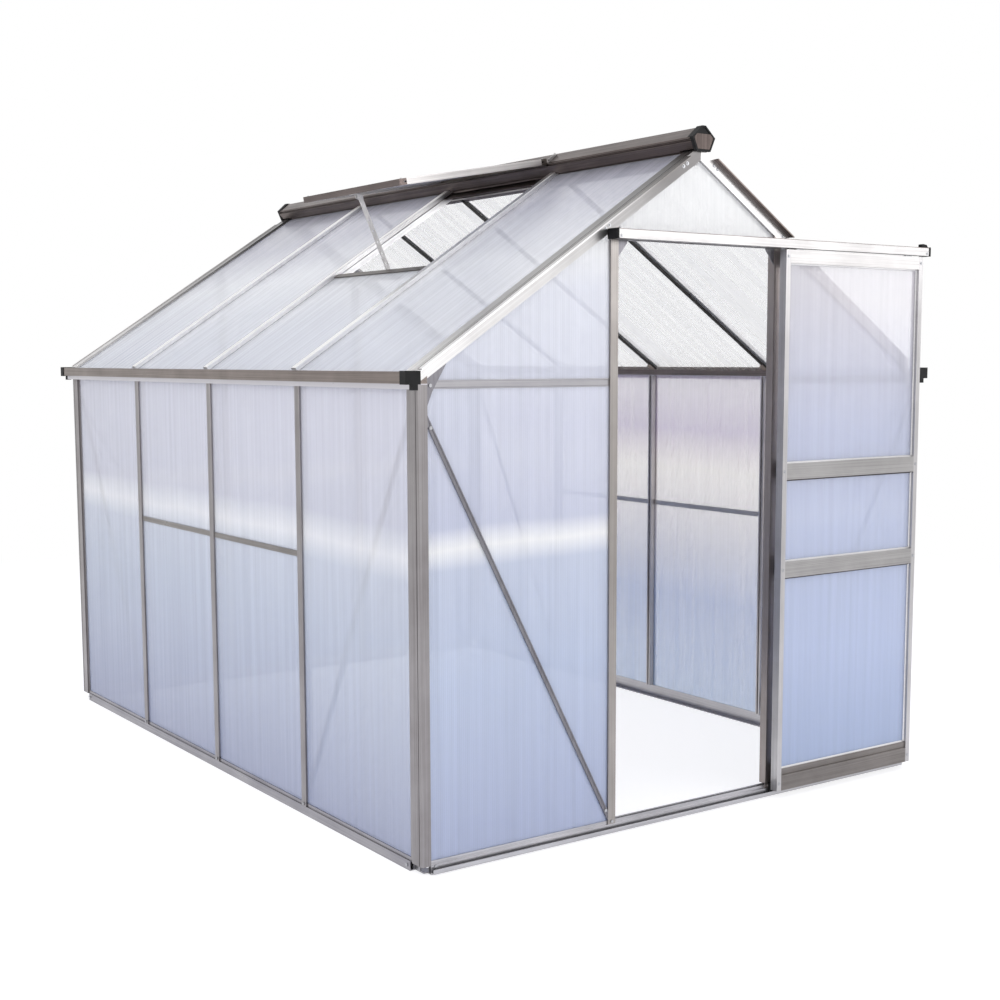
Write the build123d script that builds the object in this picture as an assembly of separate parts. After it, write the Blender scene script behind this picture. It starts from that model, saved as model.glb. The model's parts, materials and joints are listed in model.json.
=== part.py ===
from build123d import *
from math import cos, hypot, radians, sin, sqrt
import os

# Garden greenhouse: an aluminium frame glazed with twin-wall sheets, a sliding door and a roof vent.
# Origin on the ground under the middle of the frame. X runs across the gables, Y from the door end
# to the back, Z up. All sizes are in millimetres.
os.makedirs("parts", exist_ok=True)

# Overall size: outer faces of the corner posts, top of the gutters, top of the ridge bar.
frame_width = 1850.0
end_bay = 655.0
middle_bay = 610.0
eave_height = 1287.0
ridge_height = 1954.0

# The roof's outer planes: how far they pass above the gutters at the wall face and below the ridge's top.
eave_stand = 5.0
ridge_stand = 49.0
eave_overhang = 6.5

# Twin-wall sheet, its play in a channel, the gap left at its edges, and its bite in a sash channel.
sheet = 4.0
sheet_play = 0.3
edge_gap = 1.0
bite = 10.0
sheet_overhang = 12.0

# Glazing bar used for studs and roof bars: outer cap, web between two sheets, inner body with bolt slot.
cap_width = 28.0
cap_depth = 6.0
cap_rib = 6.0
skin = 2.0
edge_break = 1.2
web = 5.0
body_width = 20.0
body_depth = 18.0
slot_mouth = 6.4
slot_width = 11.0
slot_depth = 6.0

# Corner bar used for the corner posts and, with a taller front, for the gable rafters.
corner_side = 48.0
corner_front = 28.0
rafter_front = 34.0
corner_lip = 12.0
corner_core = 30.0
inner_skin = 2.4
bore_wall = 3.0
set_back = 4.0
flute_offset = 10.0
flute_width = 3.0
flute_depth = 1.5
post_foot = 24.0

# Base rails and their corner brackets.
rail_step = 26.0
rail_lip = 36.0
rail_height = 40.0
rail_flange = 40.0
rail_skin = 2.5
guide_reach = 12.0
guide_low = 4.0
guide_height = 16.0
bracket_arm = 60.0
bracket_thick = 3.0
bracket_height = 90.0

# Gutters and their end caps.
gutter_reach = 40.0
gutter_depth = 30.0
gutter_skin = 2.5
drip_drop = 14.0
drip_inset = 18.0
gutter_cap = 12.0
cap_tab = 16.0
cap_skirt = 16.0

# Ridge bar: a shield-shaped head over a core, with a hinge groove at each side of the head.
ridge_flat = 4.0
ridge_half = 39.0
ridge_fall = 29.0
ridge_side = 13.0
ridge_side_in = 2.0
ridge_foot = 22.0
ridge_core = 24.0
core_wall = 3.0
wing_length = 62.0
groove_in = 3.0
groove_drop = 7.0
groove_wall = 1.65
bead_radius = 3.5
hinge_play = 0.05
mouth_high = -23.0
mouth_low = 60.0
ridge_gap = 1.0
mitre_gap = 0.2

# Ridge end caps: moulded hoods with a set-in front.
hood_length = 12.0
hood_skirt = 10.0
hood_skin = 3.0
hood_rim = 5.0
hood_inset = 2.0

# Doorway, door track and sliding door.
door_post_x = 304.0
door_post_width = 26.0
header_drop = 7.3
header_height = 30.0
header_plate = 34.0
header_plate_drop = 46.0
header_plate_edge = 8.0
door_width = 596.0
door_lap = 7.0
door_low = 24.0
door_back = 16.0
door_thick = 26.0
stile_width = 18.0
top_rail = 39.0
kick_rail = 66.0
kick_step = 47.0
mid_rail_heights = (695.0, 987.0)
mid_rail = 48.0
track_drop = 4.0
track_height = 25.0
track_flange = 20.0
track_front = 45.0
track_back = 18.0
track_toe = 5.0
track_ledge = 12.0
track_left = -326.0
track_right_gap = 24.0
track_cap = 6.0
track_cap_proud = 1.5
roller_radius = 8.0
roller_width = 7.0
roller_room = 3.5
axle_radius = 2.0
axle_play = 0.06
running_gap = 0.3
hanger_inset = 60.0
hanger_width = 28.0
hanger_thick = 3.0
hanger_over = 6.0
door_gap = 4.0
shoe_width = 20.0
shoe_inset = 2.0
shoe_gap = 3.0
shoe_low = 9.0

# Wall mid rails, ties, braces and plates.
wall_rail_z = 764.0
wall_rail = 16.0
wall_rail_in = 3.0
tie_height = 19.0
rear_tie_depth = 12.0
brace_width = 20.0
brace_thick = 2.8
brace_room = 6.0
plate_in = 1.0
gusset_side = 70.0
gusset_waist = 14.0
rear_stud_x = 308.0

# Roof vent, hung from the ridge groove over the second bay of the left slope and stored open.
# Its sizes run out from the hinge axis along the sash; vent_tilt is its fall from level.
vent_tilt = 10.4
sash_lift = 1.0
sash_top = 8.0
sash_end = 550.0
sash_depth = 19.0
sash_head = 21.0
sash_stile = 20.0
sash_rail = 26.0
sash_side_gap = 3.0
neck_half = 1.2
neck_rise = 2.0
neck_bite = 4.0
sill_top = 556.0
sill_width = 20.0
sill_in = 3.0
stay_pivot = 514.0
stay_pivot_depth = 11.5
stay_width = 14.0
stay_thick = 4.0
stay_pin = 2.5
stay_side_gap = 0.4
stay_plate = 24.0
stay_base = 18.0
cheek_thick = 3.0
cheek_round = 6.0
cheek_back = 8.0
peg_before_sill = 8.0
peg_depth = 24.0
peg_radius = 3.0
peg_gap = 0.5
peg_side = 20.0
peg_reach = 10.0
lug_thick = 3.0
lug_margin = 4.0

# Hexagon bolt heads.
bolt_radius = 5.0
bolt_head = 2.5
bolt_inset = 9.0

half_width = frame_width / 2
half_length = end_bay + middle_bay
front = -half_length
left = -half_width
channel = sheet + 2 * sheet_play
sheet_out = cap_depth + sheet_play
sheet_in = sheet_out + sheet
channel_in = cap_depth + channel
bar_depth = channel_in + body_depth
lip_in = channel_in + inner_skin
corner_end = corner_side + corner_lip
channel_floor = rail_step + skin
roof_peak = ridge_height - ridge_stand
pitch_rise = (roof_peak - eave_height - eave_stand) / half_width
run = 1 / sqrt(1 + pitch_rise ** 2)
rise = pitch_rise * run
bar_ys = [front + end_bay, 0.0, -front - end_bay]
trough = eave_height - gutter_depth
gutter_base = trough - gutter_skin
seat_low = trough + gutter_skin
seat_x = left + corner_front


def slope(distance, depth):
    """Point (x, z) on the left slope, from the roof's peak down and inwards from its outer plane."""
    return (-distance * run + depth * rise, roof_peak - distance * rise - depth * run)


def roof_z(x, depth):
    """Height of the left slope at x, at a depth below the roof's outer plane."""
    return roof_peak + x * pitch_rise - depth / run


def prism(plane, points, length):
    return extrude(plane * make_face(Polyline(*points, close=True)), length, dir=plane.z_dir)


def along_x(points, start, end):
    return prism(Plane((start, 0, 0), x_dir=(0, 1, 0), z_dir=(1, 0, 0)), points, end - start)


def along_y(points, start, end):
    return prism(Plane((0, end, 0), x_dir=(1, 0, 0), z_dir=(0, -1, 0)), points, end - start)


def along_z(points, start, end):
    return prism(Plane((0, 0, start), x_dir=(1, 0, 0), z_dir=(0, 0, 1)), points, end - start)


def down_slope(points, start, end):
    """Bar down the left slope: points are (y, depth)."""
    x, z = slope(start, 0)
    return prism(Plane((x, 0, z), x_dir=(0, 1, 0), z_dir=(-run, 0, -rise)), points, end - start)


def across_slope(points, start, end):
    """Bar along the left slope: points are (distance from the peak, depth)."""
    return along_y([slope(*point) for point in points], start, end)


def box(x, y, z):
    return along_z([(x[0], y[0]), (x[1], y[0]), (x[1], y[1]), (x[0], y[1])], z[0], z[1])


def cylinder_y(x, z, radius, start, end):
    return Plane((x, start, z), x_dir=(1, 0, 0), z_dir=(0, 1, 0)) * Cylinder(
        radius, end - start, align=(Align.CENTER, Align.CENTER, Align.MIN))


def other_side(part):
    return part.mirror(Plane.YZ)


def other_end(part):
    return part.mirror(Plane.XZ)


def four_corners(part):
    return [part, other_side(part), other_end(part), other_end(other_side(part))]


def node(name, *pieces):
    solids = [solid for piece in pieces for solid in piece.solids()]
    export_step(Compound(children=solids) if len(solids) > 1 else solids[0], f"parts/{name}.step")


# Sections of the drawn bars.
def glazing_bar(centre, rib=0.0):
    half = cap_width / 2
    slot_floor = bar_depth - slot_depth - skin
    right = [(half - edge_break, -rib), (half, edge_break - rib), (half, cap_depth), (half - skin, cap_depth),
             (half - skin, skin), (web / 2, skin), (web / 2, channel_in), (body_width / 2, channel_in),
             (body_width / 2, bar_depth), (slot_mouth / 2, bar_depth), (slot_mouth / 2, bar_depth - skin),
             (slot_width / 2, bar_depth - skin), (slot_width / 2, slot_floor)]
    left_half = [(-u, v) for u, v in reversed(right)]
    return [(centre + u, v) for u, v in right + left_half]


def corner_bar(face):
    """Points (in from the side face, in from the gable face) of a bar whose gable face is so wide."""
    side = corner_side
    floor = corner_side - skin
    flute_end = flute_offset + flute_width
    return [(0, 0), (0, flute_offset), (flute_depth, flute_offset), (flute_depth, flute_end), (0, flute_end),
            (0, side), (set_back, side), (set_back, corner_end), (cap_depth, corner_end),
            (cap_depth, floor), (channel_in, floor), (channel_in, corner_end), (lip_in, corner_end),
            (lip_in, corner_core), (face - cap_depth, corner_core), (face - cap_depth, lip_in),
            (face, lip_in), (face, channel_in), (face - corner_lip, channel_in),
            (face - corner_lip, cap_depth), (face, cap_depth), (face, 0)]


bore_high = corner_side - skin - bore_wall
corner_bore = [(bore_wall, lip_in + bore_wall), (lip_in - bore_wall, lip_in + bore_wall),
               (lip_in - bore_wall, bore_high), (bore_wall, bore_high)]


def base_rail():
    """Points (in from the wall face, z)."""
    return [(0, 0), (0, rail_step), (set_back, rail_step), (set_back, rail_lip), (cap_depth, rail_lip),
            (cap_depth, channel_floor), (channel_in, channel_floor), (channel_in, rail_height),
            (lip_in, rail_height), (lip_in, rail_skin), (rail_flange, rail_skin), (rail_flange, 0)]


rail_bore = [(rail_skin, rail_skin), (lip_in - rail_skin, rail_skin),
             (lip_in - rail_skin, rail_step - rail_skin), (rail_skin, rail_step - rail_skin)]

# Base rails: the front one carries an upturned lip that guides the foot of the door.
guide_in = skin - guide_reach
guide_lip = [(0, 0), (0, guide_low), (-guide_reach, guide_low), (-guide_reach, guide_height),
             (guide_in, guide_height), (guide_in, guide_low + skin), (0, guide_low + skin)]
side_rail = along_y([(left + a, z) for a, z in base_rail()], front + corner_end, -front - corner_end)
side_rail -= along_y([(left + a, z) for a, z in rail_bore], front, -front)
gable_bore = along_x([(front + b, z) for b, z in rail_bore], left, -left)
front_rail = along_x([(front + b, z) for b, z in guide_lip + base_rail()[1:]], seat_x, -seat_x)
rear_rail = along_x([(front + b, z) for b, z in base_rail()], seat_x, -seat_x)
node("left_base_rail", side_rail)
node("right_base_rail", other_side(side_rail))
node("front_base_rail", front_rail - gable_bore)
node("rear_base_rail", other_end(rear_rail - gable_bore))

# Base corner brackets: an angle on the rail flanges with a tab up the inside of the corner post.
bracket_end = corner_end + bracket_arm
bracket = along_z([(left + a, front + b) for a, b in [
    (lip_in, lip_in), (bracket_end, lip_in), (bracket_end, rail_flange), (rail_flange, rail_flange),
    (rail_flange, bracket_end), (lip_in, bracket_end)]], rail_skin, rail_skin + bracket_thick)
bracket += box((left + lip_in, left + lip_in + bracket_thick), (front + corner_core, front + corner_end),
               (rail_skin, bracket_height))
node("base_corner_brackets", *four_corners(bracket))

# Corner posts: L-shaped bars with a sheet channel in each leg.
post = along_z([(left + a, front + b) for a, b in corner_bar(corner_front)], post_foot, gutter_base)
post -= along_z([(left + a, front + b) for a, b in corner_bore], 0, ridge_height)
node("front_left_corner_post", post)
node("front_right_corner_post", other_side(post))
node("rear_left_corner_post", other_end(post))
node("rear_right_corner_post", other_end(other_side(post)))

# Wall studs: each outer cap runs on down over the rail's set-back lip.
studs = []
for y in bar_ys:
    stud = along_z([(left + depth, u) for u, depth in glazing_bar(y)], rail_height, gutter_base)
    stud += box((left, left + set_back), (y - cap_width / 2, y + cap_width / 2), (rail_step, rail_height))
    studs.append(stud)
node("left_wall_studs", *studs)
node("right_wall_studs", *[other_side(stud) for stud in studs])

# Wall mid rails: H-section bars that join the two sheets of each middle bay.
wall_half = wall_rail / 2
wall_web = web / 4
wall_h = [(wall_rail_in, -wall_half), (cap_depth, -wall_half), (cap_depth, -wall_web),
          (channel_in, -wall_web), (channel_in, -wall_half), (lip_in, -wall_half), (lip_in, wall_half),
          (channel_in, wall_half), (channel_in, wall_web), (cap_depth, wall_web), (cap_depth, wall_half),
          (wall_rail_in, wall_half)]
wall_rails = []
for low, high in zip(bar_ys, bar_ys[1:]):
    wall_points = [(left + a, wall_rail_z + z) for a, z in wall_h]
    wall_rails.append(along_y(wall_points, low + cap_width / 2, high - cap_width / 2))
node("left_wall_mid_rails", *wall_rails)
node("right_wall_mid_rails", *[other_side(rail) for rail in wall_rails])

# Gutters: an open trough outside the wall, a drip edge below it and a sloped seat for the roof bars.
seat_foot = (seat_low - roof_z(0, bar_depth)) / pitch_rise
lip_x = left - gutter_reach
lip_in_x = lip_x + gutter_skin
drip_x = lip_x + drip_inset
drip_low = trough - drip_drop
gutter = along_y([(lip_x, eave_height), (lip_in_x, eave_height), (lip_in_x, seat_low), (seat_foot, seat_low),
                  (seat_x, roof_z(seat_x, bar_depth)), (seat_x, gutter_base), (drip_x + skin, gutter_base),
                  (drip_x + skin, drip_low), (drip_x, drip_low), (drip_x, trough), (lip_x, trough)],
                 front, -front)
node("left_gutter", gutter)
node("right_gutter", other_side(gutter))

# Gutter end caps: moulded covers with a skirt over the trough and a tab over the drip edge.
cap_out = lip_x - skin
cap_low = trough - skin
cap_high = eave_height + skin
tab_low = drip_low - skin
end_cap = along_y([(cap_out, cap_low), (drip_x - skin, cap_low), (drip_x - skin, tab_low),
                   (drip_x + cap_tab, tab_low), (drip_x + cap_tab, cap_low), (left + skin, cap_low),
                   (left + skin, cap_high), (cap_out, cap_high)], front - gutter_cap, front)
end_cap += box((cap_out, lip_x), (front - gutter_cap, front + cap_skirt), (cap_low, cap_high))
node("gutter_end_caps", *four_corners(end_cap))


# Ridge bar: a hollow shield-shaped head with two hinge grooves, a hollow core and two wings under the sheets.
# The core and wings stop short of the gable rafters, which meet under the head.
def both_halves(points):
    face = make_face(Polyline(*points, close=True))
    return face + face.mirror(Plane.YZ)


def mirrored(points):
    """Closed outline from its left half, listed from the top down."""
    return make_face(Polyline(*points, *[(-x, z) for x, z in reversed(points)], close=True))


core = ridge_core / 2
corner_z = ridge_height - ridge_fall
side_z = corner_z - ridge_side
neck_z = roof_z(-core, 0)
foot_z = roof_z(-ridge_foot, 0)
core_low = roof_z(-core, bar_depth)
hinge_x = groove_in - ridge_half
hinge_z = corner_z - groove_drop
groove_radius = bead_radius + hinge_play
ring_radius = groove_radius + groove_wall


def around_groove(radius, angle):
    """Point around the left groove, at an angle down from level and outwards."""
    return (hinge_x - radius * cos(radians(angle)), hinge_z - radius * sin(radians(angle)))


head = [(-ridge_flat, ridge_height), (-ridge_half, corner_z), (ridge_side_in - ridge_half, side_z),
        (-ridge_foot, foot_z), (-core, neck_z), (-core, core_low)]
head_void = [(-ridge_flat, ridge_height - 2 * core_wall), (hinge_x + ring_radius + core_wall, hinge_z),
             (2 * core_wall - ridge_foot, neck_z + core_wall)]
core_void = [(core_wall - core, neck_z - core_wall), (core_wall - core, core_low + core_wall)]
ridge_face = mirrored(head) - mirrored(head_void) - mirrored(core_void)
ridge_face += both_halves([(-core, roof_z(-core, channel_in)), slope(wing_length, channel_in),
                           slope(wing_length, lip_in), (-core, roof_z(-core, lip_in))])
for side in (-1, 1):
    ridge_face += Pos(-side * hinge_x, hinge_z) * Circle(ring_radius)
for side in (-1, 1):
    ridge_face -= Pos(-side * hinge_x, hinge_z) * Circle(groove_radius)
mouth_reach = 2 * ring_radius
mouth_middle = (mouth_high + mouth_low) / 2
ridge_face -= both_halves([(hinge_x, hinge_z), around_groove(mouth_reach, mouth_high),
                           around_groove(1.3 * mouth_reach, mouth_middle),
                           around_groove(mouth_reach, mouth_low)])
ridge_plane = Plane((0, -front, 0), x_dir=(1, 0, 0), z_dir=(0, -1, 0))
ridge_bar = extrude(ridge_plane * ridge_face, 2 * half_length, dir=(0, -1, 0))
core_cut = neck_z - core_wall
core_room = box((-wing_length, wing_length), (2 * front, front + corner_end + ridge_gap), (0, core_cut))
core_room += other_end(core_room)
node("ridge_bar", ridge_bar - core_room)

# Ridge end caps: moulded hoods with a set-in front and a skirt back over the top of the ridge bar.
hood_corner = (-ridge_half - hood_skin, corner_z)
hood_outline = [(-ridge_flat - hood_skin, ridge_height + hood_skin), hood_corner,
                (-ridge_foot - hood_skin, foot_z - hood_skin)]
hood_face = mirrored(hood_outline)
hood_plane = Plane((0, front, 0), x_dir=(1, 0, 0), z_dir=(0, -1, 0))
hood = extrude(hood_plane * hood_face, hood_length, dir=(0, -1, 0))
inset_plane = hood_plane.offset(hood_length - hood_inset)
inset_face = offset(hood_face, -hood_rim, kind=Kind.INTERSECTION)
hood -= extrude(inset_plane * inset_face, hood_inset, dir=(0, -1, 0))
skirt_face = both_halves([(0, ridge_height + hood_skin), (-ridge_flat - hood_skin, ridge_height + hood_skin),
                          hood_corner, (-ridge_half, corner_z), (-ridge_flat, ridge_height),
                          (0, ridge_height)])
hood += extrude(hood_plane * skirt_face, hood_skirt, dir=(0, 1, 0))
node("ridge_end_caps", hood, other_end(hood))

# Roof bars with a rib along the cap, and gable rafters, cut back to clear the ridge bar and the gutters.
roof_end = half_width / run + eave_overhang
clear_x = ridge_half + ring_radius
ridge_room = along_y([(clear_x, 2 * ridge_height), (-clear_x, 2 * ridge_height), (-clear_x, side_z),
                      (-ridge_foot - ridge_gap, roof_z(-ridge_foot - ridge_gap, 0)), (-core, neck_z),
                      (-core, roof_z(-core, channel_in)), slope(wing_length, channel_in),
                      slope(wing_length, lip_in), (-core, roof_z(-core, lip_in)), (-core, 0), (clear_x, 0)],
                     2 * front, -2 * front)
rafter_room = along_y([(clear_x, 2 * ridge_height), (-clear_x, 2 * ridge_height), (-clear_x, side_z),
                       (-ridge_foot - ridge_gap, roof_z(-ridge_foot - ridge_gap, 0)), (-core, neck_z),
                       (-core, core_cut - ridge_gap), (-mitre_gap, core_cut - ridge_gap), (-mitre_gap, 0),
                       (clear_x, 0)], 2 * front, -2 * front)
gutter_room = along_y([(seat_x, roof_z(seat_x, bar_depth)), (2 * left, roof_z(2 * left, bar_depth)),
                       (2 * left, 0), (seat_x, 0)], 2 * front, -2 * front)
roof_bars = [down_slope(glazing_bar(y, cap_rib), 0, roof_end) - ridge_room for y in bar_ys]
node("left_roof_bars", *roof_bars)
node("right_roof_bars", *[other_side(bar) for bar in roof_bars])
rafter = down_slope([(front + b, a) for a, b in corner_bar(rafter_front)], 0, roof_end)
rafter -= down_slope([(front + b, a) for a, b in corner_bore], 0, roof_end)
rafter -= rafter_room
rafter -= gutter_room
node("front_left_gable_rafter", rafter)
node("front_right_gable_rafter", other_side(rafter))
node("rear_left_gable_rafter", other_end(rafter))
node("rear_right_gable_rafter", other_end(other_side(rafter)))

# Door posts, each with a sheet channel on the side away from the doorway, and the header between them.
above_rafter = across_slope([(-half_width, rafter_front), (2 * half_width, rafter_front),
                             (2 * half_width, -half_width), (-half_width, -half_width)],
                            2 * front, -2 * front)
post_in = -door_post_x + door_post_width / 2
post_out = -door_post_x - door_post_width / 2
post_channel = post_out + corner_lip
door_post = along_z([(post_in, front), (post_out, front), (post_out, front + cap_depth),
                     (post_channel, front + cap_depth), (post_channel, front + channel_in),
                     (post_out, front + channel_in), (post_out, front + lip_in),
                     (-door_post_x, front + lip_in), (-door_post_x, front + door_post_width),
                     (post_in, front + door_post_width)],
                    rail_height, ridge_height)
door_post += box((post_out, post_in), (front, front + set_back), (rail_step, rail_height))
door_post -= above_rafter
node("left_door_post", door_post)
node("right_door_post", other_side(door_post))
header_high = roof_z(post_in, rafter_front) - header_drop
header_low = header_high - header_height
header_floor = header_high - corner_lip
header = along_x([(front + b, z) for b, z in [
    (0, header_low), (0, header_high), (cap_depth, header_high), (cap_depth, header_floor),
    (channel_in, header_floor), (channel_in, header_high), (lip_in, header_high), (lip_in, header_low)]],
    post_in, -post_in)
node("door_header", header)
plate = along_y([(post_in, header_low), (post_in + header_plate, header_low),
                 (post_in + header_plate - header_plate_edge / 2, header_low - header_plate_edge),
                 (post_in, header_low - header_plate_drop)], front + skin, front + skin + bracket_thick)
node("door_header_gussets", plate, other_side(plate))

# Rear gable studs.
rear_points = [(u, front + depth) for u, depth in glazing_bar(-rear_stud_x)]
rear_stud = along_z(rear_points, rail_height, ridge_height)
rear_stud += box((-rear_stud_x - cap_width / 2, -rear_stud_x + cap_width / 2), (front, front + set_back),
                 (rail_step, rail_height))
rear_stud = other_end(rear_stud - above_rafter)
node("rear_gable_studs", rear_stud, other_side(rear_stud))

# Gable ties: inside bars at eave height.
tie_z = (gutter_base - tie_height / 2, gutter_base + tie_height / 2)
tie = box((seat_x, -door_post_x), (front + lip_in, front + door_post_width), tie_z)
rear_inside = -front - bar_depth
rear_tie = box((seat_x, -seat_x), (rear_inside - rear_tie_depth, rear_inside), tie_z)
node("gable_ties", tie, other_side(tie), rear_tie)


# Braces: flat bars with upright ends.
def brace(start, end):
    slant = (start[1] - end[1]) / (end[0] - start[0])
    half = brace_width / 2 * sqrt(1 + slant ** 2)
    return [(start[0], start[1] + half), (start[0], start[1] - half), (end[0], end[1] - half),
            (end[0], end[1] + half)]


brace_foot = rail_step + brace_width * 1.25
brace_top = gutter_base - gusset_side - brace_width
brace_y = (front + plate_in, front + plate_in + brace_thick)
front_brace = along_y(brace((seat_x, brace_top), (post_out, brace_foot)), *brace_y)
rear_brace = along_y(brace((seat_x, brace_top), (-rear_stud_x - cap_width / 2, brace_foot)), *brace_y)
rear_brace = other_end(rear_brace)
node("gable_braces", front_brace, other_side(front_brace), rear_brace, other_side(rear_brace))
side_brace = along_x(brace((front + corner_core + brace_room, gutter_base - brace_width * 1.4),
                           (bar_ys[0] - body_width / 2, rail_height + brace_width * 1.2)),
                     left + lip_in, left + lip_in + brace_thick)
node("side_wall_braces", *four_corners(side_brace))

# Eave gusset plates between each corner post and its gable rafter.
under_rafter = roof_z(seat_x, rafter_front)
gusset_x = seat_x + gusset_side * run
gusset = along_y([(seat_x, under_rafter), (gusset_x, roof_z(gusset_x, rafter_front)),
                  (seat_x + gusset_waist, under_rafter - gusset_side / 2),
                  (seat_x, under_rafter - gusset_side)], *brace_y)
node("eave_gusset_plates", *four_corners(gusset))


# Twin-wall sheets of the side walls.
def sheet_span(number):
    """Sheet edges along Y in one bay, counted from the front."""
    edges = [front + corner_side - skin] + bar_ys + [-front - corner_side + skin]
    low = edges[number] + (edge_gap if number == 0 else web / 2 + edge_gap)
    high = edges[number + 1] - (edge_gap if number == 3 else web / 2 + edge_gap)
    return low, high


sheet_low = channel_floor + sheet_play
sheet_high = gutter_base - sheet_play
rail_gap = wall_web + sheet_play
wall_sheets = []
for number in range(4):
    heights = [(sheet_low, sheet_high)]
    if number in (1, 2):
        heights = [(sheet_low, wall_rail_z - rail_gap), (wall_rail_z + rail_gap, sheet_high)]
    for span in heights:
        wall_sheets.append(box((left + sheet_out, left + sheet_in), sheet_span(number), span))
node("left_wall_sheets", *wall_sheets)
node("right_wall_sheets", *[other_side(piece) for piece in wall_sheets])

# Sheets of the roof: the second bay of the left slope is short, below the vent.
roof_top = (core + edge_gap + sheet_in * rise) / run
sheet_end = roof_end + sheet_overhang
sill_channel = sill_top + bite


def roof_sheet(number, start):
    low, high = sheet_span(number)
    points = [(low, sheet_out), (high, sheet_out), (high, sheet_in), (low, sheet_in)]
    return down_slope(points, start, sheet_end)


node("left_roof_sheets", *[roof_sheet(n, sill_channel + edge_gap if n == 1 else roof_top) for n in range(4)])
node("right_roof_sheets", *[other_side(roof_sheet(n, roof_top)) for n in range(4)])


# Sheets of the gables.
def gable_sheet(points):
    return along_y(points, front + sheet_out, front + sheet_in)


def rafter_z(x):
    return roof_z(-abs(x), rafter_front - corner_lip + edge_gap)


side_x = seat_x - corner_lip + edge_gap
inner_x = seat_x + edge_gap
peak_z = core_low - edge_gap
peak_x = (peak_z - rafter_z(0)) / pitch_rise


def side_gable_sheet(edge):
    return gable_sheet([(side_x, sheet_low), (edge, sheet_low), (edge, rafter_z(edge)),
                        (inner_x, rafter_z(inner_x)), (inner_x, sheet_high), (side_x, sheet_high)])


def middle_gable_sheet(edge, low):
    return gable_sheet([(edge, low), (-edge, low), (-edge, rafter_z(edge)), (-peak_x, peak_z),
                        (peak_x, peak_z), (edge, rafter_z(edge))])


front_side = side_gable_sheet(post_channel - edge_gap)
over_door = middle_gable_sheet(post_in + edge_gap, header_floor + edge_gap)
node("front_gable_sheets", front_side, other_side(front_side), over_door)
rear_side = other_end(side_gable_sheet(-rear_stud_x - web / 2 - edge_gap))
rear_middle = other_end(middle_gable_sheet(-rear_stud_x + web / 2 + edge_gap, sheet_low))
node("rear_gable_sheets", rear_side, other_side(rear_side), rear_middle)

# Door track: a channel that hangs out from the gable on a flange, open below for the hangers.
track_high = header_high - track_drop
track_low = track_high - track_height
flange_low = track_high - track_flange
track_roof = track_high - skin
ledge_top = track_low + skin
door_left = -post_in + door_lap
door_right = door_left + door_width
track_right = door_right + track_right_gap
track = along_x([(front - p, z) for p, z in [
    (0, flange_low), (0, track_high), (track_front, track_high), (track_front, track_low),
    (track_front - track_toe, track_low), (track_front - track_toe, ledge_top),
    (track_front - skin, ledge_top), (track_front - skin, track_roof), (track_back + skin, track_roof),
    (track_back + skin, ledge_top),
    (track_back + track_ledge, ledge_top), (track_back + track_ledge, track_low), (track_back, track_low),
    (track_back, track_roof), (skin, track_roof), (skin, flange_low)]], track_left, track_right)
node("door_track", track)
cap_box = ((front - track_front - track_cap_proud, front - set_back),
           (track_low - track_cap_proud, track_high + track_cap_proud))
node("door_track_end_caps", box((track_left - track_cap, track_left), *cap_box),
     box((track_right, track_right + track_cap), *cap_box))

# Sliding door, stored open at the right as it runs on the track.
door_top = track_low - door_gap
leaf_back = front - door_back
leaf_front = leaf_back - door_thick
groove_mid = (leaf_back + leaf_front) / 2
groove_near = groove_mid + channel / 2
groove_far = groove_mid - channel / 2


def stile(x, way):
    inner = x + way * stile_width
    deep = inner - way * bite
    return along_z([(x, leaf_back), (inner, leaf_back), (inner, groove_near), (deep, groove_near),
                    (deep, groove_far), (inner, groove_far), (inner, leaf_front), (x, leaf_front)],
                   door_low, door_top)


def leaf_rail(low, high, below, above, step=0.0):
    points = [(leaf_back, low)]
    if below:
        points += [(groove_near, low), (groove_near, low + bite), (groove_far, low + bite), (groove_far, low)]
    points += [(leaf_front, low)]
    if step:
        points += [(leaf_front, low + step), (leaf_front + set_back, low + step),
                   (leaf_front + set_back, high)]
    else:
        points += [(leaf_front, high)]
    if above:
        points += [(groove_far, high), (groove_far, high - bite), (groove_near, high - bite),
                   (groove_near, high)]
    points += [(leaf_back, high)]
    return along_x(points, door_left + stile_width, door_right - stile_width)


node("door_left_stile", stile(door_left, 1))
node("door_right_stile", stile(door_right, -1))
node("door_top_rail", leaf_rail(door_top - top_rail, door_top, True, False))
node("door_mid_rails", *[leaf_rail(z - mid_rail / 2, z + mid_rail / 2, True, True) for z in mid_rail_heights])
node("door_kick_rail", leaf_rail(door_low, door_low + kick_rail, False, True, kick_step))
pane_lows = [door_low + kick_rail] + [z + mid_rail / 2 for z in mid_rail_heights]
pane_highs = [z - mid_rail / 2 for z in mid_rail_heights] + [door_top - top_rail]
tuck = bite - edge_gap
pane_x = (door_left + stile_width - tuck, door_right - stile_width + tuck)
pane_y = (groove_mid - sheet / 2, groove_mid + sheet / 2)
panes = [(low - tuck, high + tuck) for low, high in zip(pane_lows, pane_highs)]
node("door_sheets", *[box(pane_x, pane_y, pane_z) for pane_z in panes])

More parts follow.
